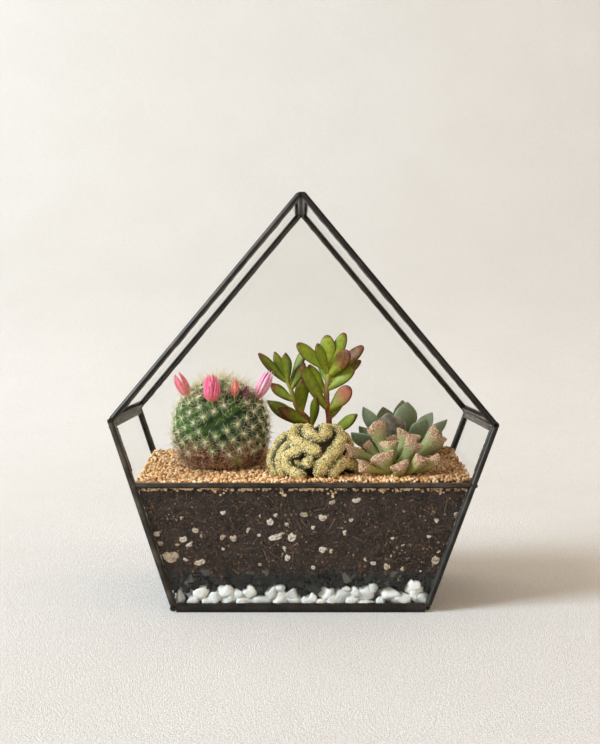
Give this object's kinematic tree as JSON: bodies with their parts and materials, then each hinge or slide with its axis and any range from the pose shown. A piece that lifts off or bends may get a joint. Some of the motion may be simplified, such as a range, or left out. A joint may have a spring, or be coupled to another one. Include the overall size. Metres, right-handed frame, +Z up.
{
  "type": "glass plant terrarium",
  "caption": "House-shaped leaded glass terrarium, open at the front gable, holding layered stones, soil and gravel planted with small succulents and a flowering cactus.",
  "frame": {"origin": "centre of the part's footprint box, on the underside of the two sills", "axes": "+Z up to the ridge, +Y from the open front towards the back pane, +X to the right seen from the front"},
  "size_m": [0.254, 0.12, 0.2725],
  "materials": {
    "black_patina": "black patina over solder and lead-coloured came, satin, worn to grey at joints",
    "clear_glass": "clear float glass, very slightly grey-green",
    "white_stone": "matte white crushed stone",
    "charcoal": "dull black horticultural charcoal",
    "potting_soil": "dark brown peaty potting soil with fibres and white perlite",
    "tan_gravel": "matte tan fine gravel",
    "pincushion_cactus": "green skin under white spines, corky brown base",
    "cactus_bloom": "pink petals, satin",
    "crested_cactus": "yellow-green crest with fine brown areoles",
    "crassula": "glossy green leaves with red margins",
    "jewel_plant": "pale green leaves with pinkish warty tips",
    "echeveria": "grey-green leaves with a waxy bloom"
  },
  "bodies": {
    "root": {"front_sill": "black_patina", "front_leg_right": "black_patina", "front_roof_right": "black_patina", "front_roof_left": "black_patina", "front_leg_left": "black_patina", "back_sill": "black_patina", "back_leg_right": "black_patina", "back_roof_right": "black_patina", "back_roof_left": "black_patina", "back_leg_left": "black_patina", "front_rail": "black_patina", "base_came_left": "black_patina", "base_came_right": "black_patina", "shoulder_came_right": "black_patina", "ridge_came": "black_patina", "shoulder_came_left": "black_patina", "front_pane": "clear_glass", "back_pane": "clear_glass", "base_pane": "clear_glass", "side_pane_right": "clear_glass", "roof_pane_right": "clear_glass", "roof_pane_left": "clear_glass", "side_pane_left": "clear_glass", "drainage_stones": "white_stone", "charcoal_layer": "charcoal", "potting_soil": "potting_soil", "top_gravel": "tan_gravel", "pincushion_cactus": "pincushion_cactus", "cactus_bloom_left": "cactus_bloom", "cactus_bloom_front": "cactus_bloom", "cactus_bud_front": "cactus_bloom", "cactus_bud_right": "cactus_bloom", "cactus_bloom_right": "cactus_bloom", "crested_cactus": "crested_cactus", "crassula_stem_right": "crassula", "crassula_stem_left": "crassula", "jewel_plant": "jewel_plant", "echeveria": "echeveria"}
  },
  "joints": []
}
